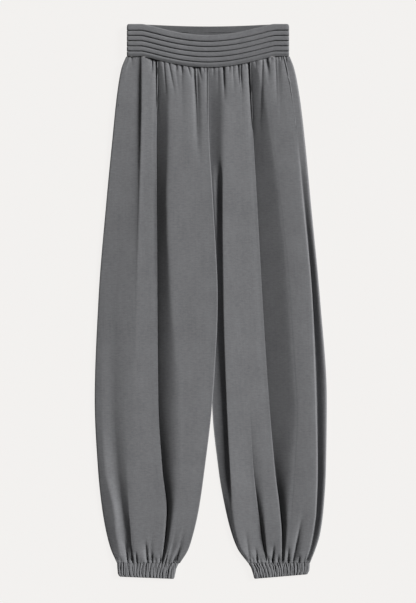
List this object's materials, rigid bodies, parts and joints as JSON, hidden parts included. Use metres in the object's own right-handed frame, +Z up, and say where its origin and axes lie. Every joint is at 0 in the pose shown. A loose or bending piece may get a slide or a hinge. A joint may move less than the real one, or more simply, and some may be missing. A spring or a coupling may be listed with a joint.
{
  "type": "gathered balloon trousers",
  "caption": "Trousers laid flat, face up: a tucked waistband over gathered balloon legs with long soft folds and narrow elasticated cuffs.",
  "frame": {"origin": "on the surface that the trousers lie on, under the middle of their outline", "axes": "+Y towards the waist, +X towards the wearer's left leg, +Z up out of the surface, where the garment's front faces"},
  "size_m": [0.4312, 1.03, 0.0265],
  "materials": {
    "cloth": "matt heathered mid-grey jersey"
  },
  "bodies": {
    "root": {"band_front": "cloth", "band_back": "cloth", "front_right_leg": "cloth", "front_left_leg": "cloth", "back_right_leg": "cloth", "back_left_leg": "cloth", "cuff_right": "cloth", "cuff_left": "cloth"}
  },
  "joints": []
}
